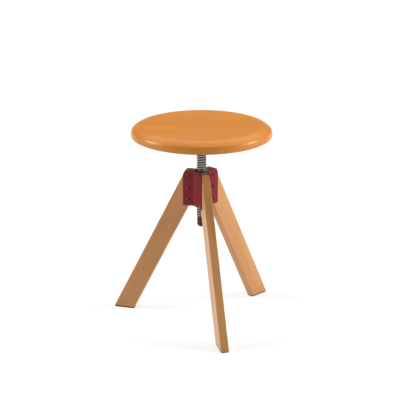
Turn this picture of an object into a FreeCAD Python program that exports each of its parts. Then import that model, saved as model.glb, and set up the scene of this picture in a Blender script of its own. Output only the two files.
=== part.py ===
import FreeCAD, Part
import math
import os
from types import SimpleNamespace

import Sketcher
from FreeCAD import Placement, Rotation, Vector

# Machinist stool: three splayed wooden legs are bolted to three folded steel plates, which clasp a threaded
# sleeve. A coarse-threaded spindle runs in the sleeve and carries the round wooden seat.
# Millimetres and degrees. +Z is up, and the origin lies on the spindle's axis, on the floor.

# Driving sizes
SIZES = {
    "seat_diameter": 360.0,
    "seat_height": 524.0,
    "seat_crown_height": 13.5,
    "seat_side_height": 6.0,
    "seat_belly_height": 14.5,
    "seat_crown_radius": 34.0,
    "seat_belly_radius": 36.0,
    "seat_top_edge_radius": 5.0,
    "seat_bottom_edge_radius": 9.0,
    "seat_dish_radius": 3400.0,
    "seat_plate_diameter": 120.0,
    "seat_plate_thickness": 4.0,
    "boss_wall": 5.0,
    "boss_length": 14.0,
    "boss_weld": 3.0,
    "boss_pin_diameter": 5.0,
    "screw_edge": 14.0,
    "screw_diameter": 4.8,
    "screw_length": 24.0,
    "screw_point": 4.0,
    "screw_head_diameter": 9.0,
    "screw_head_height": 2.6,
    "spindle_diameter": 25.4,
    "spindle_below_hub": 31.0,
    "spindle_chamfer": 1.0,
    "spigot_diameter": 14.0,
    "cap_diameter": 22.8,
    "cap_length": 27.0,
    "cap_end_wall": 7.0,
    "cap_round": 9.0,
    "hub_bottom": 309.0,
    "hub_height": 93.0,
    "nut_wall": 6.3,
    "nut_recess": 8.0,
    "nut_chamfer": 1.5,
    "plate_thickness": 3.0,
    "flange_overhang": 5.0,
    "flange_corner": 3.0,
    "bend_radius": 3.0,
    "board_width": 50.0,
    "board_thickness": 21.0,
    "board_edge": 1.6,
    "leg_angle": 26.8,
    "leg_gap": 1.0,
    "leg_top_width": 21.0,
    "bolt_inset": 9.0,
    "bolt_above_edge": 15.2,
    "bolt_spacing": 32.2,
    "bolt_diameter": 5.0,
    "bolt_end_gap": 7.0,
    "bolt_head_diameter": 10.0,
    "bolt_head_height": 2.8,
    "bolt_head_rim": 0.6,
    "bolt_socket": 3.0,
    "bolt_socket_depth": 1.6,
    "sleeve_diameter": 7.0,
    "sleeve_end_gap": 10.0,
    "glide_thickness": 3.0,
    "glide_inset": 1.0,
    "glide_corner": 2.5,
    "glide_pin_diameter": 6.0,
    "glide_pin_length": 16.0,
    "running_clearance": 0.05,
    "cap_clearance": 0.1,
    "fixed_clearance": 0.05,
    "hole_clearance": 0.15,
    "drill_over_length": 1.0,
}

LEG_DIRECTIONS = {"front": 270.0, "right": 30.0, "left": 150.0}
BRACKET_DIRECTIONS = {"right": 330.0, "rear": 90.0, "left": 210.0}
HALF_LEG_ANGLE = 60.0
BOLTS_PER_LEG = 3
SEAT_SCREWS = 4
HEXAGON_SIDES = 6


# Sizes that know their formula
class Dim:
    """A size: its value, and the formula over the sheet's cells that gives it."""

    def __init__(self, value, formula):
        self.value = float(value)
        self.formula = formula

    def __add__(self, other):
        return join(self, "+", other, self.value + value_of(other))

    def __radd__(self, other):
        return join(other, "+", self, value_of(other) + self.value)

    def __sub__(self, other):
        return join(self, "-", other, self.value - value_of(other))

    def __rsub__(self, other):
        return join(other, "-", self, value_of(other) - self.value)

    def __mul__(self, other):
        return join(self, "*", other, self.value * value_of(other))

    def __rmul__(self, other):
        return join(other, "*", self, value_of(other) * self.value)

    def __truediv__(self, other):
        return join(self, "/", other, self.value / value_of(other))

    def __neg__(self):
        return join(0.0, "-", self, -self.value)


def value_of(size):
    return size.value if isinstance(size, Dim) else float(size)


def formula_of(size):
    return size.formula if isinstance(size, Dim) else f"({float(size)!r})"


def join(left, sign, right, value):
    return Dim(value, f"({formula_of(left)} {sign} {formula_of(right)})")


def sine(angle):
    return Dim(math.sin(math.radians(value_of(angle))), f"sin({formula_of(angle)})")


def cosine(angle):
    return Dim(math.cos(math.radians(value_of(angle))), f"cos({formula_of(angle)})")


def tangent(angle):
    return Dim(math.tan(math.radians(value_of(angle))), f"tan({formula_of(angle)})")


def root(square):
    return Dim(math.sqrt(value_of(square)), f"sqrt({formula_of(square)})")


# Document and sheet
doc = FreeCAD.newDocument("MachinistStool")
sheet = doc.addObject("Spreadsheet::Sheet", "Sizes")
for row, (alias, number) in enumerate(SIZES.items(), 1):
    sheet.set(f"A{row}", alias.replace("_", " "))
    sheet.set(f"B{row}", str(number))
    sheet.setAlias(f"B{row}", alias)
doc.recompute()
size = SimpleNamespace(**{alias: Dim(number, f"Sizes.{alias}") for alias, number in SIZES.items()})

# Heights and reaches that several pieces share
seat_radius = size.seat_diameter / 2
seat_thickness = size.seat_crown_height + size.seat_side_height + size.seat_belly_height
seat_underside = size.seat_height - seat_thickness
screw_reach = size.seat_plate_diameter / 2 - size.screw_edge
spindle_radius = size.spindle_diameter / 2
spindle_shoulder = size.hub_bottom - size.spindle_below_hub
spindle_length = seat_underside - spindle_shoulder
spigot_length = size.cap_length - size.cap_end_wall
boss_radius = spindle_radius + size.boss_wall
boss_middle = size.seat_plate_thickness + size.boss_length / 2
nut_radius = spindle_radius + size.nut_wall
hub_top = size.hub_bottom + size.hub_height
half_board = size.board_thickness / 2
flange_face = half_board + size.plate_thickness
leg_inner_reach = nut_radius + size.leg_gap
leg_top_reach = leg_inner_reach + size.leg_top_width
board_run = size.board_width / cosine(size.leg_angle)
flange_reach = leg_top_reach + size.flange_overhang
bolt_reach = leg_top_reach - size.bolt_inset
low_bolt = size.hub_bottom + size.bolt_above_edge
head_radius = size.bolt_head_diameter / 2
head_top = flange_face + size.bolt_head_height
socket_reach = size.bolt_socket / 2 / cosine(180.0 / HEXAGON_SIDES)
head_flat = socket_reach + size.bolt_head_rim


def leg_outer(height):
    """Reach of a leg's outer edge from the spindle's axis at a height."""
    return leg_top_reach + (hub_top - height) * tangent(size.leg_angle)


def head_dome():
    """Radius of a button head's dome, whose centre lies on the bolt's axis."""
    crown = size.bolt_head_height
    depth = (head_radius * head_radius + crown * crown - head_flat * head_flat) / (2 * crown)
    return root(depth * depth + head_flat * head_flat)


# Shared steps
def new_body(label):
    body = doc.addObject("PartDesign::Body", label)
    body.Label = label
    return body


def own_plane(body, role):
    return next(item for item in body.Origin.OriginFeatures if item.Role == role)


def new_sketch(body, name, role="XZ_Plane", turn=0.0, lift=0.0):
    """A sketch on one of the body's own planes, turned about Z, or lifted off the plane along its normal."""
    sketch = body.newObject("Sketcher::SketchObject", name)
    sketch.AttachmentSupport = (own_plane(body, role), [""])
    sketch.MapMode = "FlatFace"
    sketch.AttachmentOffset = Placement(Vector(0, 0, value_of(lift)), Rotation(Vector(0, 1, 0), turn))
    if isinstance(lift, Dim):
        sketch.setExpression("AttachmentOffset.Base.z", lift.formula)
    return sketch


def set_datum(sketch, kind, places, amount):
    """A dimension bound to the sheet; a negative one is measured the other way round."""
    if value_of(amount) < 0:
        places = places[2:] + places[:2]
        amount = -amount
    index = sketch.addConstraint(Sketcher.Constraint(kind, *places, value_of(amount)))
    if isinstance(amount, Dim):
        sketch.setExpression(f"Constraints[{index}]", amount.formula)


def place_point(sketch, piece, end, x, y):
    """Hold one point of a sketch's line, arc or circle at x, y from the sketch's origin."""
    for kind, axis, amount in (("DistanceX", -2, x), ("DistanceY", -1, y)):
        if value_of(amount) == 0:
            sketch.addConstraint(Sketcher.Constraint("PointOnObject", piece, end, axis))
        else:
            set_datum(sketch, kind, (-1, 1, piece, end), amount)


def corner(x, y, arc=None):
    """A corner of a profile, and the radius of the arc that leads to it: above 0 turns left, below right."""
    return SimpleNamespace(x=x, y=y, arc=arc, at=Vector(value_of(x), value_of(y), 0))


def arc_between(start, end, radius):
    """The shorter arc from start to end, and whether it runs from its own start."""
    bend = value_of(radius)
    chord = end - start
    depth = math.sqrt(bend**2 - (chord.Length / 2) ** 2)
    side = Vector(-chord.y, chord.x, 0).normalize() * math.copysign(depth, bend)
    centre = start + chord / 2 + side
    first, last = (start, end) if bend > 0 else (end, start)
    angles = [math.atan2(p.y - centre.y, p.x - centre.x) for p in (first, last)]
    if angles[1] < angles[0]:
        angles[1] += 2 * math.pi
    return Part.ArcOfCircle(Part.Circle(centre, Vector(0, 0, 1), abs(bend)), *angles), bend > 0


def draw_profile(sketch, corners):
    """A closed profile of lines and arcs through its corners, every corner and radius dimensioned."""
    ends = []
    for index, target in enumerate(corners):
        origin = corners[index - 1]
        if target.arc is None:
            piece = sketch.addGeometry(Part.LineSegment(origin.at, target.at), False)
            ends.append((piece, 1, 2))
        else:
            shape, forward = arc_between(origin.at, target.at, target.arc)
            piece = sketch.addGeometry(shape, False)
            ends.append((piece, 1, 2) if forward else (piece, 2, 1))
    for index, (piece, _, last) in enumerate(ends):
        following, first, _ = ends[(index + 1) % len(ends)]
        sketch.addConstraint(Sketcher.Constraint("Coincident", piece, last, following, first))
        place_point(sketch, piece, last, corners[index].x, corners[index].y)
        if corners[index].arc is not None:
            bend = corners[index].arc
            bend = bend if value_of(bend) > 0 else -bend
            radius = sketch.addConstraint(Sketcher.Constraint("Radius", piece, value_of(bend)))
            sketch.setExpression(f"Constraints[{radius}]", formula_of(bend))


def draw_circle(sketch, x, y, radius):
    centre = Vector(value_of(x), value_of(y), 0)
    circle = sketch.addGeometry(Part.Circle(centre, Vector(0, 0, 1), value_of(radius)), False)
    place_point(sketch, circle, 3, x, y)
    index = sketch.addConstraint(Sketcher.Constraint("Radius", circle, value_of(radius)))
    sketch.setExpression(f"Constraints[{index}]", formula_of(radius))


def new_feature(body, kind, name, profile=None):
    feature = body.newObject(f"PartDesign::{kind}", name)
    if profile is not None:
        feature.Profile = profile
    return feature


def pad(body, name, profile, length, middle=False):
    feature = new_feature(body, "Pad", name, profile)
    feature.SideType = "Symmetric" if middle else "One side"
    feature.Length = value_of(length)
    feature.setExpression("Length", formula_of(length))
    doc.recompute()
    return feature


def pocket(body, name, profile, length, middle=False, reverse=False):
    """Cut a profile out of the body; the volume has to shrink."""
    before = body.Shape.Volume
    feature = new_feature(body, "Pocket", name, profile)
    feature.SideType = "Symmetric" if middle else "One side"
    feature.Reversed = reverse
    feature.Length = value_of(length)
    feature.setExpression("Length", formula_of(length))
    doc.recompute()
    if not body.Shape.Volume < before:
        raise RuntimeError(f"{body.Label}: {name} cuts nothing")
    return feature


def revolve(body, name, profile):
    feature = new_feature(body, "Revolution", name, profile)
    feature.ReferenceAxis = (profile, ["V_Axis"])
    feature.Angle = 360
    doc.recompute()
    return feature


def round_edges(body, name, base, radius, wanted):
    """Fillet the edges of the base feature that the wanted test picks."""
    names = [f"Edge{n}" for n, edge in enumerate(base.Shape.Edges, 1) if wanted(edge)]
    feature = new_feature(body, "Fillet", name)
    feature.Base = (base, names)
    feature.Radius = value_of(radius)
    feature.setExpression("Radius", formula_of(radius))
    doc.recompute()
    return feature


def repeat_round(body, name, originals, count):
    """Repeat features in a full circle about the body's Z axis."""
    feature = new_feature(body, "PolarPattern", name)
    feature.Originals = originals
    feature.Axis = (own_plane(body, "Z_Axis"), [""])
    feature.Angle = 360
    feature.Occurrences = count
    body.Tip = feature
    doc.recompute()
    return feature


def repeat_up(body, name, originals, count, spacing):
    """Repeat features in a row along the body's Z axis."""
    feature = new_feature(body, "LinearPattern", name)
    feature.Originals = originals
    feature.Direction = (own_plane(body, "Z_Axis"), [""])
    length = (count - 1) * spacing
    feature.Length = value_of(length)
    feature.setExpression("Length", formula_of(length))
    feature.Occurrences = count
    body.Tip = feature
    doc.recompute()
    return feature


def place(piece, height=0.0, direction=0.0, reach=0.0):
    """Put a finished piece at a height, turned about the axis and moved out along its direction."""
    turn = Rotation(Vector(0, 0, 1), direction)
    out = turn.multVec(Vector(value_of(reach), 0, 0))
    piece.Placement = Placement(out + Vector(0, 0, value_of(height)), turn)
    if isinstance(reach, Dim):
        piece.setExpression("Placement.Base.x", (reach * cosine(direction)).formula)
        piece.setExpression("Placement.Base.y", (reach * sine(direction)).formula)
    piece.setExpression("Placement.Base.z", formula_of(height))


# Seat and what fixes it to the spindle
def make_seat():
    """Round wooden seat: a crown, a straight side and a belly with rounded edges, and a slight dish."""
    body = new_body("seat")
    crown = size.seat_crown_radius
    belly = size.seat_belly_radius
    top_edge = size.seat_top_edge_radius
    bottom_edge = size.seat_bottom_edge_radius
    side_low = size.seat_belly_height
    side_high = side_low + size.seat_side_height
    top_reach = seat_radius - top_edge
    bottom_reach = seat_radius - bottom_edge
    top_sine = (crown - size.seat_crown_height) / (crown - top_edge)
    top_cosine = root(1.0 - top_sine * top_sine)
    bottom_sine = (belly - size.seat_belly_height) / (belly - bottom_edge)
    bottom_cosine = root(1.0 - bottom_sine * bottom_sine)
    crown_reach = top_reach - (crown - top_edge) * top_cosine
    crown_lift = seat_thickness - crown
    dish_sine = crown_reach / (crown + size.seat_dish_radius)
    dish_cosine = root(1.0 - dish_sine * dish_sine)
    dish_floor = crown_lift + (crown + size.seat_dish_radius) * dish_cosine - size.seat_dish_radius
    profile = new_sketch(body, "seat_profile")
    draw_profile(
        profile,
        [
            corner(0.0, 0.0),
            corner(bottom_reach - (belly - bottom_edge) * bottom_cosine, 0.0),
            corner(bottom_reach + bottom_edge * bottom_cosine, side_low - bottom_edge * bottom_sine, belly),
            corner(seat_radius, side_low, bottom_edge),
            corner(seat_radius, side_high),
            corner(top_reach + top_edge * top_cosine, side_high + top_edge * top_sine, top_edge),
            corner(crown_reach - crown * dish_sine, crown_lift + crown * dish_cosine, crown),
            corner(0.0, dish_floor, -size.seat_dish_radius),
        ],
    )
    revolve(body, "seat_round", profile)
    hole = new_sketch(body, "screw_hole", "XY_Plane")
    draw_circle(hole, screw_reach, 0.0, size.screw_diameter / 2 + size.fixed_clearance)
    depth = size.screw_length - size.seat_plate_thickness + size.drill_over_length
    drilled = pocket(body, "screw_pocket", hole, depth, reverse=True)
    repeat_round(body, "screw_pockets", [drilled], SEAT_SCREWS)
    place(body, seat_underside)
    return body


def make_seat_plate():
    """Round plate with a boss welded under it, drilled for the screws and for the cross pin."""
    body = new_body("seat_plate")
    bore = spindle_radius + size.fixed_clearance
    rim = size.seat_plate_diameter / 2
    boss_bottom = -(size.seat_plate_thickness + size.boss_length)
    profile = new_sketch(body, "plate_profile")
    draw_profile(
        profile,
        [
            corner(bore, 0.0),
            corner(bore, boss_bottom),
            corner(boss_radius, boss_bottom),
            corner(boss_radius, -size.seat_plate_thickness - size.boss_weld),
            corner(boss_radius + size.boss_weld, -size.seat_plate_thickness),
            corner(rim, -size.seat_plate_thickness),
            corner(rim, 0.0),
        ],
    )
    revolve(body, "plate_round", profile)
    hole = new_sketch(body, "screw_hole", "XY_Plane")
    draw_circle(hole, screw_reach, 0.0, size.screw_diameter / 2 + size.hole_clearance)
    drilled = pocket(body, "screw_pocket", hole, size.seat_plate_thickness)
    repeat_round(body, "screw_pockets", [drilled], SEAT_SCREWS)
    pin = new_sketch(body, "pin_hole", "YZ_Plane")
    draw_circle(pin, 0.0, -boss_middle, size.boss_pin_diameter / 2 + size.fixed_clearance)
    pocket(body, "pin_pocket", pin, 2 * boss_radius + size.drill_over_length, middle=True)
    place(body, seat_underside)
    return body


def make_seat_plate_screws():
    """Round-head wood screws up through the plate into the seat, with plain pointed shanks."""
    body = new_body("seat_plate_screws")
    shank = size.screw_diameter / 2
    head = size.screw_head_diameter / 2
    slope = size.screw_head_height / 2
    profile = new_sketch(body, "screw_profile")
    draw_profile(
        profile,
        [
            corner(0.0, -size.screw_head_height),
            corner(head - slope, -size.screw_head_height),
            corner(head, -slope),
            corner(head, 0.0),
            corner(shank, 0.0),
            corner(shank, size.screw_length - size.screw_point),
            corner(0.0, size.screw_length),
        ],
    )
    profile.AttachmentOffset = Placement(Vector(value_of(screw_reach), 0, 0), Rotation())
    profile.setExpression("AttachmentOffset.Base.x", screw_reach.formula)
    turned = revolve(body, "screw_round", profile)
    repeat_round(body, "screw_ring", [turned], SEAT_SCREWS)
    place(body, seat_underside - size.seat_plate_thickness)
    return body


def make_boss_pin():
    """Cross pin through the boss and the spindle's top end."""
    pin = doc.addObject("Part::Cylinder", "boss_pin")
    pin.Label = "boss_pin"
    pin.setExpression("Radius", (size.boss_pin_diameter / 2).formula)
    pin.setExpression("Height", (2 * boss_radius).formula)
    start = Vector(value_of(-boss_radius), 0, value_of(seat_underside - boss_middle))
    pin.Placement = Placement(start, Rotation(Vector(0, 1, 0), 90))
    pin.setExpression("Placement.Base.x", (-boss_radius).formula)
    pin.setExpression("Placement.Base.z", (seat_underside - boss_middle).formula)
    return pin


def make_spindle():
    """Steel spindle as long as its thread, at the thread's outer diameter, with a spigot for the cap."""
    body = new_body("spindle")
    chamfer = size.spindle_chamfer
    spigot = size.spigot_diameter / 2
    profile = new_sketch(body, "spindle_profile")
    draw_profile(
        profile,
        [
            corner(0.0, -spigot_length),
            corner(spigot - chamfer, -spigot_length),
            corner(spigot, -spigot_length + chamfer),
            corner(spigot, 0.0),
            corner(spindle_radius - chamfer, 0.0),
            corner(spindle_radius, chamfer),
            corner(spindle_radius, spindle_length - chamfer),
            corner(spindle_radius - chamfer, spindle_length),
            corner(0.0, spindle_length),
        ],
    )
    revolve(body, "spindle_round", profile)
    pin = new_sketch(body, "pin_hole", "YZ_Plane")
    draw_circle(pin, 0.0, spindle_length - boss_middle, size.boss_pin_diameter / 2 + size.fixed_clearance)
    pocket(body, "pin_pocket", pin, size.spindle_diameter + size.drill_over_length, middle=True)
    place(body, spindle_shoulder)
    return body


def make_end_cap():
    """Cap on the spindle's spigot, rounded below; its top is level with the end of the thread."""
    body = new_body("end_cap")
    bore = size.spigot_diameter / 2 + size.running_clearance
    outer = size.cap_diameter / 2
    bottom = -size.cap_length
    bend = size.cap_round
    edge = size.spindle_chamfer
    bore_end = -(spigot_length + size.cap_clearance)
    profile = new_sketch(body, "cap_profile")
    draw_profile(
        profile,
        [
            corner(0.0, bottom),
            corner(outer - bend, bottom),
            corner(outer, bottom + bend, bend),
            corner(outer, -(size.cap_clearance + edge)),
            corner(outer - edge, -size.cap_clearance),
            corner(bore, -size.cap_clearance),
            corner(bore, bore_end),
            corner(0.0, bore_end),
        ],
    )
    revolve(body, "cap_round_body", profile)
    place(body, spindle_shoulder)
    return body


# Hub
def make_hub_nut():
    """Sleeve whose bore carries the spindle; the plates are wrapped round it and welded to it."""
    body = new_body("hub_nut")
    bore = spindle_radius + size.running_clearance
    outer = nut_radius
    chamfer = size.nut_chamfer
    top = size.hub_height - size.nut_recess
    profile = new_sketch(body, "nut_profile")
    draw_profile(
        profile,
        [
            corner(bore + chamfer, 0.0),
            corner(outer - chamfer, 0.0),
            corner(outer, chamfer),
            corner(outer, top - chamfer),
            corner(outer - chamfer, top),
            corner(bore + chamfer, top),
            corner(bore, top - chamfer),
            corner(bore, chamfer),
        ],
    )
    revolve(body, "nut_round", profile)
    place(body, size.hub_bottom)
    return body


def make_bracket(name, direction):
    """Folded plate between two legs: flat flanges on their sides and a web curved round the sleeve.

    Its own X axis halves the angle between the two legs.
    """
    body = new_body(name)
    web_inside = nut_radius + size.fixed_clearance
    web_outside = web_inside + size.plate_thickness
    along = (cosine(HALF_LEG_ANGLE), sine(HALF_LEG_ANGLE))
    across = (sine(HALF_LEG_ANGLE), -cosine(HALF_LEG_ANGLE))

    def flange_point(reach, offset, side, arc=None):
        x = along[0] * reach + across[0] * offset
        y = along[1] * reach + across[1] * offset
        return corner(x, y if side > 0 else -y, arc)

    outer_start = root(web_outside * web_outside - flange_face * flange_face)
    inner_start = root(web_inside * web_inside - half_board * half_board)
    section = new_sketch(body, "section", "XY_Plane")
    draw_profile(
        section,
        [
            flange_point(outer_start, flange_face, -1),
            flange_point(outer_start, flange_face, 1, web_outside),
            flange_point(flange_reach, flange_face, 1),
            flange_point(flange_reach, half_board, 1),
            flange_point(inner_start, half_board, 1),
            flange_point(inner_start, half_board, -1, -web_inside),
            flange_point(flange_reach, half_board, -1),
            flange_point(flange_reach, flange_face, -1),
        ],
    )
    folded = pad(body, "folded_plate", section, size.hub_height)

    def upright_at(reach, offset):
        spots = [flange_point(reach, offset, side).at for side in (1, -1)]

        def wanted(edge):
            ends = [vertex.Point for vertex in edge.Vertexes]
            flat = [Vector(end.x, end.y, 0) for end in ends]
            return len(ends) == 2 and any(all((f - s).Length < 0.01 for f in flat) for s in spots)

        return wanted

    at_outside = upright_at(outer_start, flange_face)
    at_inside = upright_at(inner_start, half_board)
    bent = round_edges(body, "inside_bends", folded, size.bend_radius, at_outside)
    round_edges(body, "outside_bends", bent, size.bend_radius + size.plate_thickness, at_inside)

    # Each flange is trimmed along its leg's outer edge, rounded at its lower corner and drilled
    rounding = size.flange_corner
    trim_start = size.hub_height - size.flange_overhang / tangent(size.leg_angle)
    cut = 2 * (flange_face + size.drill_over_length)
    beyond = flange_reach + size.drill_over_length
    above = size.hub_height + size.drill_over_length
    for side, label, hole_radius in (
        (1, "head_side", size.bolt_diameter / 2 + size.hole_clearance),
        (-1, "nut_side", size.sleeve_diameter / 2 + size.hole_clearance),
    ):
        turn = side * HALF_LEG_ANGLE
        trim = new_sketch(body, f"trim_{label}", turn=turn)
        draw_profile(
            trim,
            [
                corner(flange_reach, trim_start),
                corner(beyond, trim_start),
                corner(beyond, above),
                corner(leg_outer(size.hub_bottom + above), above),
            ],
        )
        pocket(body, f"trimmed_{label}", trim, cut, middle=True)
        foot = new_sketch(body, f"corner_{label}", turn=turn)
        draw_profile(
            foot,
            [
                corner(flange_reach, 0.0),
                corner(flange_reach, rounding),
                corner(flange_reach - rounding, 0.0, -rounding),
            ],
        )
        pocket(body, f"rounded_{label}", foot, cut, middle=True)
        holes = new_sketch(body, f"holes_{label}", turn=turn)
        for row_number in range(BOLTS_PER_LEG):
            height = size.bolt_above_edge + size.bolt_spacing * row_number
            draw_circle(holes, bolt_reach, height, hole_radius)
        pocket(body, f"drilled_{label}", holes, cut, middle=True)
    place(body, size.hub_bottom, direction)
    return body


# Legs, their fasteners and their glides
def make_leg(name, direction):
    """Splayed board, cut level at the foot and the top, and upright where it meets the sleeve.

    Its own X axis points from the spindle out to the foot.
    """
    body = new_body(name)
    foot = size.glide_thickness
    knee = hub_top - (board_run - size.leg_top_width) / tangent(size.leg_angle)
    profile = new_sketch(body, "board_profile")
    draw_profile(
        profile,
        [
            corner(leg_outer(foot) - board_run, foot),
            corner(leg_outer(foot), foot),
            corner(leg_outer(hub_top), hub_top),
            corner(leg_inner_reach, hub_top),
            corner(leg_inner_reach, knee),
        ],
    )
    board = pad(body, "board", profile, size.board_thickness, middle=True)
    round_edges(
        body,
        "eased_edges",
        board,
        size.board_edge,
        lambda edge: all(abs(abs(v.Point.y) - value_of(half_board)) < 0.01 for v in edge.Vertexes)
        and edge.Vertexes[0].Point.y * edge.Vertexes[1].Point.y > 0,
    )
    holes = new_sketch(body, "bolt_holes")
    radius = size.sleeve_diameter / 2 + size.hole_clearance
    for row_number in range(BOLTS_PER_LEG):
        draw_circle(holes, bolt_reach, low_bolt + size.bolt_spacing * row_number, radius)
    pocket(body, "bolt_pockets", holes, size.board_thickness + size.drill_over_length, middle=True)
    pin = new_sketch(body, "pin_hole", "XY_Plane", lift=foot)
    pin_radius = size.glide_pin_diameter / 2 + size.fixed_clearance
    draw_circle(pin, leg_outer(foot) - board_run / 2, 0.0, pin_radius)
    pocket(body, "pin_pocket", pin, size.glide_pin_length + size.drill_over_length, reverse=True)
    place(body, 0.0, direction)
    return body


def make_glide(name, direction):
    """Foot glide: a thin pad just inside the leg's outline, moulded with the pin that holds it."""
    body = new_body(name)
    foot = size.glide_thickness
    inset = size.glide_inset
    near = leg_outer(foot) - board_run + inset
    far = leg_outer(foot) - inset
    half = half_board - inset
    outline = new_sketch(body, "pad_outline", "XY_Plane")
    draw_profile(outline, [corner(near, -half), corner(far, -half), corner(far, half), corner(near, half)])
    flat = pad(body, "pad", outline, foot)
    round_edges(
        body,
        "pad_corners",
        flat,
        size.glide_corner,
        lambda edge: edge.Vertexes[0].Point.z != edge.Vertexes[1].Point.z,
    )
    pin = new_sketch(body, "pin_outline", "XY_Plane")
    draw_circle(pin, leg_outer(foot) - board_run / 2, 0.0, size.glide_pin_diameter / 2)
    pad(body, "pin", pin, foot + size.glide_pin_length)
    place(body, 0.0, direction)
    return body


def sink_socket(body, lift, reverse=False):
    """Hexagon socket in the flat top of a button head, whose sketch is lifted off the board's middle."""
    socket = new_sketch(body, "socket", lift=lift)
    angles = [360.0 * n / HEXAGON_SIDES for n in range(HEXAGON_SIDES)]
    draw_profile(socket, [corner(socket_reach * cosine(a), socket_reach * sine(a)) for a in angles])
    return pocket(body, "socket_pocket", socket, size.bolt_socket_depth, reverse=reverse)


def make_bolts(name, direction):
    """Button-head bolts of one leg, their heads on the clockwise side seen from above."""
    body = new_body(name)
    shank = size.bolt_diameter / 2
    bolt_end = flange_face - size.bolt_end_gap
    profile = new_sketch(body, "bolt_profile", "XY_Plane")
    draw_profile(
        profile,
        [
            corner(0.0, -head_top),
            corner(head_flat, -head_top),
            corner(head_radius, -flange_face, head_dome()),
            corner(shank, -flange_face),
            corner(shank, bolt_end),
            corner(0.0, bolt_end),
        ],
    )
    turned = revolve(body, "bolt_round", profile)
    socket = sink_socket(body, head_top)
    repeat_up(body, "bolt_row", [turned, socket], BOLTS_PER_LEG, size.bolt_spacing)
    place(body, low_bolt, direction, bolt_reach)
    return body


def make_sleeve_nuts(name, direction):
    """Sleeve nuts of one leg: button heads on the counter-clockwise side, sleeves through the board."""
    body = new_body(name)
    sleeve = size.sleeve_diameter / 2
    bore = size.bolt_diameter / 2 + size.fixed_clearance
    sleeve_end = size.sleeve_end_gap - flange_face
    profile = new_sketch(body, "nut_profile", "XY_Plane")
    draw_profile(
        profile,
        [
            corner(0.0, flange_face),
            corner(bore, flange_face),
            corner(bore, sleeve_end),
            corner(sleeve, sleeve_end),
            corner(sleeve, flange_face),
            corner(head_radius, flange_face),
            corner(head_flat, head_top, head_dome()),
            corner(0.0, head_top),
        ],
    )
    turned = revolve(body, "nut_round", profile)
    socket = sink_socket(body, -head_top, reverse=True)
    repeat_up(body, "nut_row", [turned, socket], BOLTS_PER_LEG, size.bolt_spacing)
    place(body, low_bolt, direction, bolt_reach)
    return body


# Assembly
pieces = [
    make_seat(),
    make_seat_plate(),
    make_seat_plate_screws(),
    make_boss_pin(),
    make_spindle(),
    make_end_cap(),
    make_hub_nut(),
]
for place_name, heading in BRACKET_DIRECTIONS.items():
    pieces.append(make_bracket(f"bracket_{place_name}", heading))
for place_name, heading in LEG_DIRECTIONS.items():
    pieces.append(make_leg(f"leg_{place_name}", heading))
    pieces.append(make_glide(f"glide_{place_name}", heading))
    pieces.append(make_bolts(f"bolts_{place_name}", heading))
    pieces.append(make_sleeve_nuts(f"sleeve_nuts_{place_name}", heading))
doc.recompute()

# Checks, then one file for each piece
for item in doc.Objects:
    if "Invalid" in item.State or "Error" in item.State:
        raise RuntimeError(f"{item.Label} failed: {item.State}")
for piece in pieces:
    if piece.Shape.isNull() or not piece.Shape.isValid():
        raise RuntimeError(f"{piece.Label} has no valid shape")

os.makedirs("parts", exist_ok=True)
for piece in pieces:
    piece.Shape.exportStep(f"parts/{piece.Label}.step")
    print(f"{piece.Label}: {len(piece.Shape.Solids)} solid(s), {piece.Shape.Volume / 1000:.2f} cm3")
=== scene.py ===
import math

import bmesh
import bpy
from mathutils import Matrix, Vector


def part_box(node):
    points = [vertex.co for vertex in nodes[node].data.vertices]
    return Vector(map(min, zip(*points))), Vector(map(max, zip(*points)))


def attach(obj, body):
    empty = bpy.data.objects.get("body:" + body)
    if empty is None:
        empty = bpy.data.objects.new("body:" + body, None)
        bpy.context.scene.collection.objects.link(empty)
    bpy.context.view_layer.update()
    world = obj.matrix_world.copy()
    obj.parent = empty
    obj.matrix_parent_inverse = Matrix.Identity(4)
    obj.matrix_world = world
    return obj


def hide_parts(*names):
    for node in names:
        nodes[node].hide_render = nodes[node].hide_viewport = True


# A stool with a round wooden seat on a screw spindle, three wooden legs and a painted steel hub.
# Metres, in the part's own frame: +Z is up, and the origin is on the floor on the spindle's axis.
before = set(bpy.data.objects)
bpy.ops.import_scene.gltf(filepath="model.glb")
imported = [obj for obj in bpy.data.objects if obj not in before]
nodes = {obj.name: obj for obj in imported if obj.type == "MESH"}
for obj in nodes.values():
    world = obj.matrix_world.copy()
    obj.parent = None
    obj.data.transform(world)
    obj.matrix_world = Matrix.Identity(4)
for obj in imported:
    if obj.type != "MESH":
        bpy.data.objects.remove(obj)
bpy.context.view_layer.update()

MM = 0.001

# Colours, as linear red, green and blue
SEAT_LIGHT = (0.70, 0.265, 0.040)
SEAT_DARK = (0.57, 0.196, 0.027)
SEAT_END_TINT = (0.80, 0.72, 0.66)
LEG_LIGHT = (0.66, 0.335, 0.130)
LEG_DARK = (0.50, 0.225, 0.075)
# Legs' end grain: a darker tint, deepened as painted shade for the tops under the seat
LEG_END_TINT_AND_SHADE = (0.30, 0.23, 0.28)
FLECK = (0.62, 0.50, 0.42)
PAINT = (0.200, 0.0150, 0.0240)
# Enamel edges: lighter specks of thin-coat wear, and painted highlight along the edges
PAINT_WORN_AND_LIT = (0.320, 0.0700, 0.0720)
PAINT_DUST = (0.240, 0.0350, 0.0400)
STEEL = (0.37, 0.36, 0.335)
STEEL_WORN = (0.26, 0.245, 0.22)
# Thread roots: oil and painted shade
STEEL_OIL_AND_SHADE = (0.085, 0.078, 0.068)
ZINC = (0.58, 0.59, 0.57)
ZINC_DULL = (0.40, 0.41, 0.40)
CAP = (0.120, 0.0120, 0.0200)
GLIDE = (0.060, 0.048, 0.040)
WHITE = (1.0, 1.0, 1.0)

# Legs: headings seen from above, and how far each leans out from the upright
LEG_HEADINGS = {"front": 270.0, "right": 30.0, "left": 150.0}
LEG_ANGLE = 26.8

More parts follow.
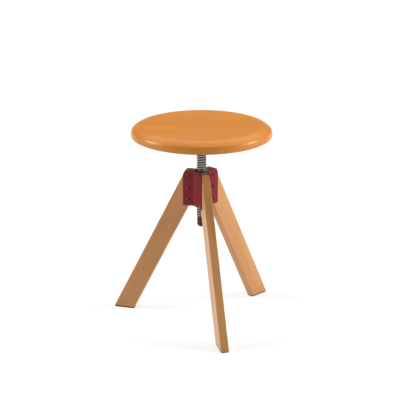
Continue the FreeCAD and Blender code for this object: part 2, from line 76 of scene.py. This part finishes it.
# Camera, fitted to the photograph's view
CAMERA_PLACE = Vector((-0.6996, -2.7993, 1.2691))
CAMERA_PITCH = 18.166
CAMERA_YAW = 13.954
CAMERA_LENS = 105.65
SENSOR_WIDTH = 36.0


class Graph:
    """The nodes of a material or world. Each is made with its settings and inputs in one call."""

    def __init__(self, owner):
        owner.use_nodes = True
        self.owner = owner
        self.tree = owner.node_tree
        self.tree.nodes.clear()

    def add(self, kind, inputs=None, **settings):
        node = self.tree.nodes.new("ShaderNode" + kind)
        for key, value in settings.items():
            setattr(node, key, value)
        for key, value in (inputs or {}).items():
            self.feed(node.inputs[key], value)
        return node

    def feed(self, socket, value):
        if isinstance(value, bpy.types.NodeSocket):
            self.tree.links.new(value, socket)
        else:
            colour = socket.type == "RGBA" and len(value) == 3
            socket.default_value = (*value, 1.0) if colour else value

    def math(self, operation, first, second=0.0, clamp=False):
        return self.add("Math", {0: first, 1: second}, operation=operation, use_clamp=clamp).outputs[0]

    def vector(self, operation, first, second=(0.0, 0.0, 0.0), third=(0.0, 0.0, 0.0)):
        node = self.add("VectorMath", {0: first, 1: second, 2: third}, operation=operation)
        return node.outputs["Value" if operation in ("LENGTH", "DOT_PRODUCT") else "Vector"]

    def mix(self, factor, first, second, blend="MIX"):
        """Two colours mixed; the node's sockets 6, 7 and 2 are the ones for colours."""
        inputs = {0: factor, 6: first, 7: second}
        return self.add("Mix", inputs, data_type="RGBA", blend_type=blend).outputs[2]

    def ramp(self, value, low, high, start=0.0, end=1.0):
        """Value's stretch from low to high, mapped smoothly to start to end."""
        inputs = {"Value": value, "From Min": low, "From Max": high, "To Min": start, "To Max": end}
        return self.add("MapRange", inputs, interpolation_type="SMOOTHSTEP").outputs[0]

    def noise(self, vector, scale=1.0, detail=2.0, output="Fac"):
        return self.add("TexNoise", {"Vector": vector, "Scale": scale, "Detail": detail}).outputs[output]

    def stretched_noise(self, vector, stretch, detail=2.0, output="Fac"):
        return self.noise(self.vector("MULTIPLY", vector, stretch), detail=detail, output=output)

    def bump(self, height, distance, strength):
        inputs = {"Height": height, "Distance": distance, "Strength": strength}
        return self.add("Bump", inputs).outputs["Normal"]

    def finish(self, inputs):
        shader = self.add("BsdfPrincipled", inputs)
        self.add("OutputMaterial", {"Surface": shader.outputs[0]})
        return self.owner


def material_graph(name):
    return Graph(bpy.data.materials.new(name))


# Wood; the stretches of its noise are along the grain, across the board and through it
RING_WIDTH = 2.6 * MM
RING_TAPER = 0.012
RING_SHARPNESS = 3.0
RING_TONE = 0.26
RING_RELIEF = 0.3
WANDER = 5.0 * MM
WANDER_STRETCH = (2.4, 11.0, 11.0)
STAVE_SEED = 7.3
STAVE_SHIFT = (0.7, 0.05, 0.05)
STAVE_TONE = 0.08
FIBRE_STRETCH = (13.0, 820.0, 820.0)
FLECK_STRETCH = (115.0, 780.0, 780.0)
FLECK_SIZE = 0.30
FLECK_TONE = 0.55
TONE_STRETCH = (3.5, 17.0, 17.0)
BASE_TONE = 0.08
VARNISH_ROUGHNESS = 0.25
VARNISH_SPREAD = 0.08
VARNISH_SPECULAR = 0.40
GRAIN_DEPTH = 0.06 * MM


def glued_staves(graph, board, width):
    """Places in a board's staves, each stave shifted by chance, and a tone for each."""
    split = graph.add("SeparateXYZ", {"Vector": board}).outputs
    number = graph.math("FLOOR", graph.math("DIVIDE", split["Y"], width))
    seed = graph.math("ADD", number, STAVE_SEED)
    chance = graph.add("TexWhiteNoise", {"W": seed}, noise_dimensions="1D").outputs
    middle = graph.math("MULTIPLY", graph.math("ADD", number, 0.5), width)
    across = graph.math("SUBTRACT", split["Y"], middle)
    own = graph.add("CombineXYZ", {"X": split["X"], "Y": across, "Z": split["Z"]}).outputs[0]
    return graph.vector("MULTIPLY_ADD", chance["Color"], STAVE_SHIFT, own), chance["Value"]


def growth_rings(graph, board, pith):
    """Rings round the pith line, which wanders along the board: 0, rising to 1 at each ring's end."""
    drift = graph.stretched_noise(board, WANDER_STRETCH, detail=3.0, output="Color")
    drift = graph.vector("SUBTRACT", drift, (0.5, 0.5, 0.5))
    bent = graph.vector("MULTIPLY_ADD", drift, (0.0, WANDER * 2, WANDER * 2), board)
    centred = graph.vector("SUBTRACT", bent, (0.0, *pith))
    reach = graph.vector("LENGTH", graph.vector("MULTIPLY", centred, (RING_TAPER, 1.0, 1.0)))
    phase = graph.math("FRACT", graph.math("DIVIDE", reach, RING_WIDTH))
    return graph.math("POWER", phase, RING_SHARPNESS)


def dark_flecks(graph, board):
    """The short dark flecks of beech: 1 in a fleck and 0 elsewhere."""
    place = graph.vector("MULTIPLY", board, FLECK_STRETCH)
    cells = graph.add("TexVoronoi", {"Vector": place, "Scale": 1.0}).outputs
    chosen = graph.add("SeparateColor", {"Color": cells["Color"]}).outputs[0]
    size = graph.math("MULTIPLY", graph.ramp(chosen, 0.45, 1.0), FLECK_SIZE)
    return graph.math("LESS_THAN", cells["Distance"], size)


def varnished_wood(name, light, dark, end_tint_and_shade, place, turn, pith, figure, stave=None):
    """Satin-varnished beech, grained through its whole thickness.

    The board's own axes, turned by turn about place, are x along the grain, y across the board and z
    through its thickness. The growth rings lie round the pith line, at y and z from the board's middle.
    The figure is how far the slow changes of tone go. With a stave width, the board is glued up from staves.
    """
    graph = material_graph(name)
    coords = graph.add("TexCoord").outputs
    inputs = {"Vector": coords["Object"], "Location": place, "Rotation": turn.to_euler()}
    board = graph.add("Mapping", inputs, vector_type="TEXTURE").outputs["Vector"]
    stave_tone = 0.5
    if stave:
        board, stave_tone = glued_staves(graph, board, stave)
    ring = growth_rings(graph, board, pith)
    fibre = graph.stretched_noise(board, FIBRE_STRETCH, detail=3.0)
    fleck = dark_flecks(graph, board)
    tone = graph.stretched_noise(board, TONE_STRETCH)

    shade = graph.math("MULTIPLY", ring, RING_TONE)
    shade = graph.math("ADD", shade, graph.ramp(fibre, 0.30, 0.72, -0.14, 0.20))
    shade = graph.math("ADD", shade, graph.ramp(tone, 0.28, 0.74, -0.05, figure))
    stave_shade = graph.math("MULTIPLY", graph.math("SUBTRACT", stave_tone, 0.5), STAVE_TONE)
    shade = graph.math("ADD", graph.math("ADD", shade, stave_shade), BASE_TONE, clamp=True)
    colour = graph.mix(shade, light, dark)
    colour = graph.mix(graph.math("MULTIPLY", fleck, FLECK_TONE), colour, FLECK, "MULTIPLY")

    # End grain drinks more varnish, so it is darker. On the legs the tint is deepened as painted shade, for
    # their tops under the seat.
    facing = graph.vector("DOT_PRODUCT", coords["Normal"], turn @ Vector((1.0, 0.0, 0.0)))
    end = graph.ramp(graph.math("ABSOLUTE", facing), 0.35, 0.95)
    colour = graph.mix(end, colour, end_tint_and_shade, "MULTIPLY")

    height = graph.math("ADD", fibre, graph.math("MULTIPLY", ring, RING_RELIEF))
    height = graph.math("SUBTRACT", height, fleck)
    spread = graph.math("MULTIPLY", fibre, VARNISH_SPREAD)
    return graph.finish(
        {
            "Base Color": colour,
            "Roughness": graph.math("ADD", spread, VARNISH_ROUGHNESS),
            "Specular IOR Level": VARNISH_SPECULAR,
            "Normal": graph.bump(height, GRAIN_DEPTH, 0.35),
        }
    )


# Paint
PEEL_SCALE = 620.0
PEEL_DEPTH = 0.05 * MM
PAINT_CLOUD_SCALE = 55.0
SPECK_SCALE = 420.0
WORN_AND_LIT_EDGE = 0.7 * MM
WORN_AND_LIT_SHARE = 0.65
DUST_SHARE = 0.30
PAINT_METALLIC = 0.25
PAINT_SPREAD = 0.14


def edge_mask(graph, radius, low, high):
    """1 within the radius of a sharp edge, 0 on flat and gently curved faces."""
    rounded = graph.add("Bevel", {"Radius": radius}, samples=6).outputs["Normal"]
    normal = graph.add("NewGeometry").outputs["Normal"]
    alike = graph.vector("DOT_PRODUCT", rounded, normal)
    return graph.ramp(graph.math("SUBTRACT", 1.0, alike), low, high)


def enamel(name, roughness, specular):
    """Dark red stoved enamel with a fine metal flake, orange peel, and edges lightened in specks, partly as
    thin-coat wear and partly as painted highlight.
    """
    graph = material_graph(name)
    coords = graph.add("TexCoord").outputs["Object"]
    peel = graph.noise(coords, PEEL_SCALE)
    cloud = graph.noise(coords, PAINT_CLOUD_SCALE, 4.0)
    speck = graph.noise(coords, SPECK_SCALE, 3.0)
    # Lightened edge specks: wear of the thin coat, and painted highlight along the edges
    worn_and_lit = graph.math("MULTIPLY", edge_mask(graph, WORN_AND_LIT_EDGE, 0.02, 0.25), graph.ramp(speck, 0.36, 0.60))
    colour = graph.mix(graph.ramp(cloud, 0.42, 0.80, 0.0, DUST_SHARE), PAINT, PAINT_DUST)
    colour = graph.mix(graph.math("MULTIPLY", worn_and_lit, WORN_AND_LIT_SHARE), colour, PAINT_WORN_AND_LIT)
    return graph.finish(
        {
            "Base Color": colour,
            "Roughness": graph.ramp(cloud, 0.30, 0.75, roughness, roughness + PAINT_SPREAD),
            "Metallic": PAINT_METALLIC,
            "Specular IOR Level": specular,
            "Normal": graph.bump(peel, PEEL_DEPTH, 0.5),
        }
    )


# Metal
SMEAR_SCALE = 130.0
LATHE_STRETCH = (25.0, 25.0, 5200.0)
METAL_DEPTH = 0.03 * MM
OILY_SHADED_ROOT = 0.3 * MM
BARE_CREST = 0.5 * MM
CRYSTAL_SCALE = 260.0
ZINC_CLOUD_SCALE = 70.0


def threaded_steel(name, root_radius, crest_radius):
    """Turned steel whose thread root is darkened, as oil and painted shade, fading out towards the crest."""
    graph = material_graph(name)
    coords = graph.add("TexCoord").outputs["Object"]
    reach = graph.vector("LENGTH", graph.vector("MULTIPLY", coords, (1.0, 1.0, 0.0)))
    smear = graph.noise(coords, SMEAR_SCALE, 3.0)
    # Painted shade and oil in the thread's root: darkest at the root, none near the crest
    oil_and_shade = graph.ramp(reach, root_radius + OILY_SHADED_ROOT, crest_radius - BARE_CREST, 1.0, 0.0)
    oil_and_shade = graph.math("MULTIPLY", oil_and_shade, graph.ramp(smear, 0.20, 0.55, 0.80, 1.0))
    lines = graph.stretched_noise(coords, LATHE_STRETCH)
    colour = graph.mix(graph.ramp(smear, 0.35, 0.75, 0.0, 0.5), STEEL, STEEL_WORN)
    colour = graph.mix(oil_and_shade, colour, STEEL_OIL_AND_SHADE)
    return graph.finish(
        {
            "Base Color": colour,
            "Metallic": graph.math("SUBTRACT", 1.0, graph.math("MULTIPLY", oil_and_shade, 0.35)),
            "Roughness": graph.ramp(smear, 0.25, 0.75, 0.26, 0.44),
            "Normal": graph.bump(lines, METAL_DEPTH, 0.4),
        }
    )


def plated_steel(name):
    """Zinc-plated steel: soft crystal patches and a satin face."""
    graph = material_graph(name)
    coords = graph.add("TexCoord").outputs["Object"]
    patches = graph.add("TexVoronoi", {"Vector": coords, "Scale": CRYSTAL_SCALE}).outputs
    patch = graph.add("SeparateColor", {"Color": patches["Color"]}).outputs[0]
    cloud = graph.noise(coords, ZINC_CLOUD_SCALE, 3.0)
    return graph.finish(
        {
            "Base Color": graph.mix(graph.math("MULTIPLY", patch, 0.5), ZINC, ZINC_DULL),
            "Metallic": 1.0,
            "Roughness": graph.ramp(cloud, 0.3, 0.7, 0.30, 0.46),
            "Normal": graph.bump(cloud, METAL_DEPTH, 0.3),
        }
    )


# Plastic
PLASTIC_CLOUD_SCALE = 90.0
PLASTIC_SPREAD = 0.10
PLASTIC_SPECULAR = 0.30
PIT_DEPTH = 0.05 * MM


def moulded_plastic(name, colour, grain, roughness):
    """Moulded plastic: a fine spark-eroded grain and slight clouding."""
    graph = material_graph(name)
    coords = graph.add("TexCoord").outputs["Object"]
    pits = graph.noise(coords, grain)
    cloud = graph.noise(coords, PLASTIC_CLOUD_SCALE, 3.0)
    paler = tuple(channel * 1.5 + 0.006 for channel in colour)
    return graph.finish(
        {
            "Base Color": graph.mix(graph.ramp(cloud, 0.40, 0.80, 0.0, 0.5), colour, paler),
            "Roughness": graph.ramp(pits, 0.3, 0.7, roughness, roughness + PLASTIC_SPREAD),
            "Specular IOR Level": PLASTIC_SPECULAR,
            "Normal": graph.bump(pits, PIT_DEPTH, 0.45),
        }
    )


# Meshes
def add_object(name, mesh):
    """A new object of the scene, made from a finished bmesh."""
    data = bpy.data.meshes.new(name)
    mesh.to_mesh(data)
    mesh.free()
    piece = bpy.data.objects.new(name, data)
    bpy.context.scene.collection.objects.link(piece)
    return piece


def turned_point(radius, share, height):
    """The point at a radius, a share of a turn and a height about the spindle's axis."""
    angle = 2 * math.pi * share
    return (radius * math.cos(angle), radius * math.sin(angle), height)


# Seat, turned to the soft edge that the light shows
SEAT_SIDE_LOW = 10.0 * MM
SEAT_SIDE_HIGH = 13.0 * MM
NOSE_RADIUS = 18.0 * MM
SHOULDER_RADIUS = 8.0 * MM
HEEL_RADIUS = 6.0 * MM
NOSE_SLOPE = 30.0
SHOULDER_SLOPE = 50.0
DISH_SLOPE = 92.5
HEEL_SLOPE = -62.0
SEAT_SEGMENTS = 160
ARC_STEP = 3.0
DISH_STEP = 0.3

seat_low, seat_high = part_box("seat")
seat_middle = (seat_low + seat_high) / 2


def arc_points(start, radius, first, last, step=ARC_STEP):
    """Reach and height of points along an arc, whose outward normal turns from first to last degrees."""
    count = max(2, math.ceil(abs(last - first) / step))
    begin = math.radians(first)
    points = []
    for index in range(1, count + 1):
        slope = begin + math.radians(last - first) * index / count
        reach = start[0] + radius * (math.cos(slope) - math.cos(begin))
        points.append((reach, start[1] + radius * (math.sin(slope) - math.sin(begin))))
    return points


def seat_profile():
    """Reach and height of the seat's outline, from its underside to the dish, and the dish's floor."""
    rim = seat_high.x
    side = [(rim, seat_low.z + SEAT_SIDE_LOW), (rim, seat_low.z + SEAT_SIDE_HIGH)]
    heel = arc_points(side[0], HEEL_RADIUS, 0.0, HEEL_SLOPE)
    belly_radius = (heel[-1][1] - seat_low.z) / (1 + math.sin(math.radians(HEEL_SLOPE)))
    belly = arc_points(heel[-1], belly_radius, HEEL_SLOPE, -90.0)
    nose = arc_points(side[1], NOSE_RADIUS, 0.0, NOSE_SLOPE)
    shoulder = arc_points(nose[-1], SHOULDER_RADIUS, NOSE_SLOPE, SHOULDER_SLOPE)
    crown_radius = (seat_high.z - shoulder[-1][1]) / (1 - math.sin(math.radians(SHOULDER_SLOPE)))
    crown = arc_points(shoulder[-1], crown_radius, SHOULDER_SLOPE, DISH_SLOPE)
    dish_radius = crown[-1][0] / math.cos(math.radians(DISH_SLOPE))
    dish = arc_points(crown[-1], dish_radius, DISH_SLOPE, 90.0, DISH_STEP)
    return belly[::-1] + heel[::-1] + side + nose + shoulder + crown + dish[:-1], dish[-1][1]


def make_seat():
    """The seat as one turned disc."""
    mesh = bmesh.new()
    outline, dish_floor = seat_profile()
    rings = []
    for reach, height in outline:
        ring = []
        for segment in range(SEAT_SEGMENTS):
            ring.append(mesh.verts.new(turned_point(reach, segment / SEAT_SEGMENTS, height)))
        rings.append(ring)
    top = mesh.verts.new((0.0, 0.0, dish_floor))
    for segment in range(SEAT_SEGMENTS):
        after = (segment + 1) % SEAT_SEGMENTS
        for lower, upper in zip(rings, rings[1:]):
            mesh.faces.new((lower[segment], lower[after], upper[after], upper[segment]))
        mesh.faces.new((rings[-1][segment], rings[-1][after], top))
    mesh.faces.new(rings[0][::-1])
    piece = add_object("turned_seat", mesh)
    piece.data.shade_smooth()
    return piece


# Spindle with its real thread
PITCH = 6.35 * MM
THREAD_DEPTH = 2.3 * MM
CREST_WIDTH = 2.5 * MM
ROOT_WIDTH = 2.1 * MM
EDGE_EASE = 0.25 * MM
RUN_OUT = 5.0 * MM
END_CHAMFER = 1.0 * MM
SPIGOT_RADIUS = 7.0 * MM
CAP_CLEARANCE = 0.1 * MM
PIN_CLEARANCE = 0.05 * MM
SEGMENTS = 60
HOLE_SEGMENTS = 40
SPARE_TURNS = 2
SHARP_ANGLE = 38.0

spindle_low, spindle_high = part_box("spindle")
spindle_radius = spindle_high.x
thread_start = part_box("end_cap")[1].z + CAP_CLEARANCE
thread_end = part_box("seat_plate")[0].z


def thread_profile():
    """Places along one pitch, as shares of it, and the depth below the crest at each."""
    flank = (PITCH - CREST_WIDTH - ROOT_WIDTH) / 2
    steps = [
        (EDGE_EASE, 0.0),
        (CREST_WIDTH - EDGE_EASE, 0.0),
        (CREST_WIDTH, EDGE_EASE),
        (CREST_WIDTH + flank, THREAD_DEPTH - EDGE_EASE),
        (CREST_WIDTH + flank + EDGE_EASE, THREAD_DEPTH),
        (PITCH - flank - EDGE_EASE, THREAD_DEPTH),
        (PITCH - flank, THREAD_DEPTH - EDGE_EASE),
        (PITCH, EDGE_EASE),
    ]
    return [(along / PITCH, depth) for along, depth in steps]


def thread_radius(depth, height):
    """Radius at a height: the thread is chamfered at its lower end and runs out below the seat's boss."""
    running = min(1.0, max(0.0, (thread_end - height) / RUN_OUT))
    limit = spindle_radius - max(0.0, thread_start + END_CHAMFER - height)
    return min(limit, spindle_radius - depth * running)


def close_end(mesh, plane, rings):
    """Cut the tube level at a height, lead the cut edge through rings of radius and height, and cap it."""
    at_top = rings[-1][1] > plane
    cut = bmesh.ops.bisect_plane(
        mesh,
        geom=mesh.verts[:] + mesh.edges[:] + mesh.faces[:],
        dist=1e-9,
        plane_co=(0, 0, plane),
        plane_no=(0, 0, 1 if at_top else -1),
        clear_outer=True,
    )
    edge = [item for item in cut["geom_cut"] if isinstance(item, bmesh.types.BMVert)]
    edge.sort(key=lambda vert: math.atan2(vert.co.y, vert.co.x))
    for radius, height in rings:
        loop = []
        for vert in edge:
            heading = Vector((vert.co.x, vert.co.y, 0.0)).normalized() * radius
            loop.append(mesh.verts.new(heading + Vector((0.0, 0.0, height))))
        for index, vert in enumerate(edge):
            after = (index + 1) % len(edge)
            mesh.faces.new((vert, edge[after], loop[after], loop[index]))
        edge = loop
    mesh.faces.new(edge)


def drill(piece, pin_name, clearance):
    """Cut the hole of a cross pin, which lies along X, out of a piece."""
    low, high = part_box(pin_name)
    radius = (high.z - low.z) / 2 + clearance
    across = Matrix.Translation((low + high) / 2) @ Matrix.Rotation(math.pi / 2, 4, "Y")
    mesh = bmesh.new()
    bmesh.ops.create_cone(
        mesh,
        cap_ends=True,
        segments=HOLE_SEGMENTS,
        radius1=radius,
        radius2=radius,
        depth=high.x - low.x,
        matrix=across,
    )
    cutter = add_object("cutter", mesh)
    hole = piece.modifiers.new("hole", "BOOLEAN")
    hole.object = cutter
    hole.solver = "EXACT"
    depsgraph = bpy.context.evaluated_depsgraph_get()
    drilled = bpy.data.meshes.new_from_object(piece.evaluated_get(depsgraph))
    piece.modifiers.clear()
    piece.data = drilled
    bpy.data.objects.remove(cutter)


def make_spindle():
    """The spindle with its coarse right-hand thread, turned ends and cross hole."""
    mesh = bmesh.new()
    profile = thread_profile()
    bottom = thread_start - SPARE_TURNS * PITCH
    turns = math.ceil((thread_end - bottom) / PITCH) + SPARE_TURNS
    columns = []
    for segment in range(SEGMENTS):
        around = segment / SEGMENTS
        column = []
        for turn in range(turns):
            for share, depth in profile:
                height = bottom + PITCH * (turn + share + around)
                column.append(mesh.verts.new(turned_point(thread_radius(depth, height), around, height)))
        columns.append(column)

    # The last column joins the first one a pitch further up
    columns.append(columns[0][len(profile):])
    for column, following in zip(columns, columns[1:]):
        for row in range(len(following) - 1):
            mesh.faces.new((column[row], following[row], following[row + 1], column[row + 1]))

    spigot_end = spindle_low.z
    spigot = [
        (SPIGOT_RADIUS, thread_start),
        (SPIGOT_RADIUS, spigot_end + END_CHAMFER),
        (SPIGOT_RADIUS - END_CHAMFER, spigot_end),
    ]
    close_end(mesh, thread_start, spigot)
    top = spindle_high.z
    shank = [(spindle_radius, top - END_CHAMFER), (spindle_radius - END_CHAMFER, top)]
    close_end(mesh, thread_end + END_CHAMFER, shank)
    bmesh.ops.recalc_face_normals(mesh, faces=mesh.faces[:])
    piece = add_object("threaded_spindle", mesh)
    drill(piece, "boss_pin", PIN_CLEARANCE)
    piece.data.shade_smooth()
    piece.data.set_sharp_from_angle(angle=math.radians(SHARP_ANGLE))
    return piece


# Dressing of the seat, whose staves run across the photograph's view
SEAT_PITH = (4.0 * MM, -55.0 * MM)
SEAT_FIGURE = 0.34
STAVE_WIDTH = 58.0 * MM

seat = make_seat()
seat.data.materials.append(
    varnished_wood(
        "seat_wood_varnished",
        SEAT_LIGHT,
        SEAT_DARK,
        SEAT_END_TINT,
        seat_middle,
        Matrix.Rotation(math.radians(-CAMERA_YAW), 3, "Z"),
        SEAT_PITH,
        SEAT_FIGURE,
        stave=STAVE_WIDTH,
    )
)
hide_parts("seat")
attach(seat, "seat_turn")

# Dressing of the spindle
spindle = make_spindle()
spindle.data.materials.append(
    threaded_steel("spindle_thread_steel", spindle_radius - THREAD_DEPTH, spindle_radius)
)
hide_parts("spindle")
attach(spindle, "seat_turn")

# Dressing of the legs, each from its own place in the tree, and toned as painted light and shade: the left
# leg lighter and the front one darker
LEG_PITHS = {
    "front": (12.0 * MM, -40.0 * MM),
    "right": (3.0 * MM, -52.0 * MM),
    "left": (-6.0 * MM, -64.0 * MM),
}
# Painted light and shade: the left leg's wood is lightened and the front leg's is darkened
LEG_LIGHT_SHADE_TONES = {"front": 0.87, "right": 1.0, "left": 1.13}
LEG_FIGURE = 0.62


def dress(material, *names):
    """Give the nodes' slots a material."""
    for name in names:
        for place in nodes[name].material_slots:
            place.material = material


def toned(colour, tone):
    return tuple(channel * tone for channel in colour)


def grain_turn(heading):
    """Axes of a leg's board: x down along it, y out of its outer edge, z through its thickness."""
    lean = math.radians(LEG_ANGLE)
    along = Vector((math.sin(lean), 0.0, -math.cos(lean)))
    outward = Vector((math.cos(lean), 0.0, math.sin(lean)))
    axes = Matrix((along, outward, along.cross(outward))).transposed()
    return Matrix.Rotation(math.radians(heading), 3, "Z") @ axes


def dress_leg(name, heading):
    low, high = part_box(f"leg_{name}")
    wood = varnished_wood(
        f"leg_{name}_wood",
        toned(LEG_LIGHT, LEG_LIGHT_SHADE_TONES[name]),
        toned(LEG_DARK, LEG_LIGHT_SHADE_TONES[name]),
        LEG_END_TINT_AND_SHADE,
        (low + high) / 2,
        grain_turn(heading),
        LEG_PITHS[name],
        LEG_FIGURE,
    )
    dress(wood, f"leg_{name}")


for name, heading in LEG_HEADINGS.items():
    dress_leg(name, heading)

# Dressing of the hub, its bolts, the seat's fittings, the cap and the glides
bolts = [f"{kind}_{name}" for kind in ("bolts", "sleeve_nuts") for name in LEG_HEADINGS]
glides = [f"glide_{name}" for name in LEG_HEADINGS]
hub = ["hub_nut", "bracket_right", "bracket_rear", "bracket_left"]
dress(enamel("hub_enamel", roughness=0.34, specular=0.25), *hub)
dress(enamel("bolt_enamel", roughness=0.24, specular=0.5), *bolts)
dress(plated_steel("zinc_plate"), "seat_plate", "seat_plate_screws", "boss_pin")
dress(moulded_plastic("cap_moulded", CAP, grain=900.0, roughness=0.44), "end_cap")
dress(moulded_plastic("glide_moulded", GLIDE, grain=1100.0, roughness=0.52), *glides)

# Floor, light and camera
FLOOR_HALF = 60.0
FLOOR_LIT = 0.55
FLOOR_SEEN = 0.35
HORIZON_HEIGHT = 0.14
DOME_TOP = 0.06
DOME_LIGHT = 0.55


def grey(level):
    return (level, level, level)


def make_floor():
    """Pale floor that a camera, gloss and glass see as near white, with the object's shadow kept on it."""
    mesh = bmesh.new()
    bmesh.ops.create_grid(mesh, x_segments=1, y_segments=1, size=FLOOR_HALF)
    floor = add_object("floor", mesh)
    graph = material_graph("pale_floor")
    path = graph.add("LightPath").outputs
    seen = graph.math("MAXIMUM", path["Is Camera Ray"], path["Is Glossy Ray"])
    seen = graph.math("MAXIMUM", seen, path["Is Transmission Ray"])
    lit = graph.add("BsdfDiffuse", {"Color": grey(FLOOR_LIT)})
    dim = graph.add("BsdfDiffuse", {"Color": grey(FLOOR_SEEN)})
    glow = graph.add("Emission", {"Color": WHITE, "Strength": 1.0 - FLOOR_SEEN})
    bright = graph.add("AddShader", {0: dim.outputs[0], 1: glow.outputs[0]})
    mixed = graph.add("MixShader", {0: seen, 1: lit.outputs[0], 2: bright.outputs[0]})
    graph.add("OutputMaterial", {"Surface": mixed.outputs[0]})
    floor.data.materials.append(graph.owner)


def make_world():
    """A soft dome, pale at the horizon, where it meets the floor, and dark above.

    Gloss and glass see the horizon as near white, as they see the floor. A camera sees white everywhere.
    """
    graph = Graph(bpy.data.worlds.new("dome"))
    bpy.context.scene.world = graph.owner
    towards = graph.add("TexCoord").outputs["Generated"]
    rise = graph.add("SeparateXYZ", {"Vector": towards}).outputs["Z"]
    glow = graph.ramp(rise, 0.0, HORIZON_HEIGHT, 1.0, DOME_TOP)
    path = graph.add("LightPath").outputs
    seen = graph.math("MAXIMUM", path["Is Glossy Ray"], path["Is Transmission Ray"])
    share = graph.add("MapRange", {"Value": seen, "To Min": DOME_LIGHT, "To Max": 1.0}).outputs[0]
    strength = graph.math("MAXIMUM", graph.math("MULTIPLY", glow, share), path["Is Camera Ray"])
    dome = graph.add("Background", {"Color": WHITE, "Strength": strength})
    graph.add("OutputWorld", {"Surface": dome.outputs[0]})


def make_sun(name, azimuth, elevation, strength, width, mirrored=True):
    """A soft distant lamp, which varnish and metal show only where it is mirrored.

    Its azimuth is measured from the camera's side of the object, positive to the right.
    """
    data = bpy.data.lights.new(name, "SUN")
    data.energy = strength
    data.angle = math.radians(width)
    lamp = bpy.data.objects.new(name, data)
    heading = math.radians(azimuth - CAMERA_YAW)
    rise = math.radians(elevation)
    level = math.cos(rise)
    towards = Vector((math.sin(heading) * level, -math.cos(heading) * level, math.sin(rise)))
    lamp.rotation_euler = towards.to_track_quat("Z", "Y").to_euler()
    lamp.visible_glossy = mirrored
    bpy.context.scene.collection.objects.link(lamp)


def make_camera():
    """The photograph's view."""
    data = bpy.data.cameras.new("camera")
    data.lens = CAMERA_LENS
    data.sensor_width = SENSOR_WIDTH
    camera = bpy.data.objects.new("camera", data)
    camera.location = CAMERA_PLACE
    camera.rotation_euler = (math.radians(90 - CAMERA_PITCH), 0.0, math.radians(-CAMERA_YAW))
    bpy.context.scene.collection.objects.link(camera)
    bpy.context.scene.camera = camera


make_floor()
make_world()
make_sun("right_softbox", azimuth=95.0, elevation=9.0, strength=3.4, width=52.0, mirrored=False)
make_sun("left_softbox", azimuth=-94.0, elevation=20.0, strength=1.4, width=42.0, mirrored=False)
make_sun("right_glint", azimuth=92.0, elevation=25.0, strength=1.4, width=20.0)
make_sun("left_glint", azimuth=-94.0, elevation=27.0, strength=1.5, width=22.0)
make_sun("overhead_softbox", azimuth=180.0, elevation=76.0, strength=1.6, width=90.0)
make_camera()
bpy.context.scene.view_settings.view_transform = "Standard"
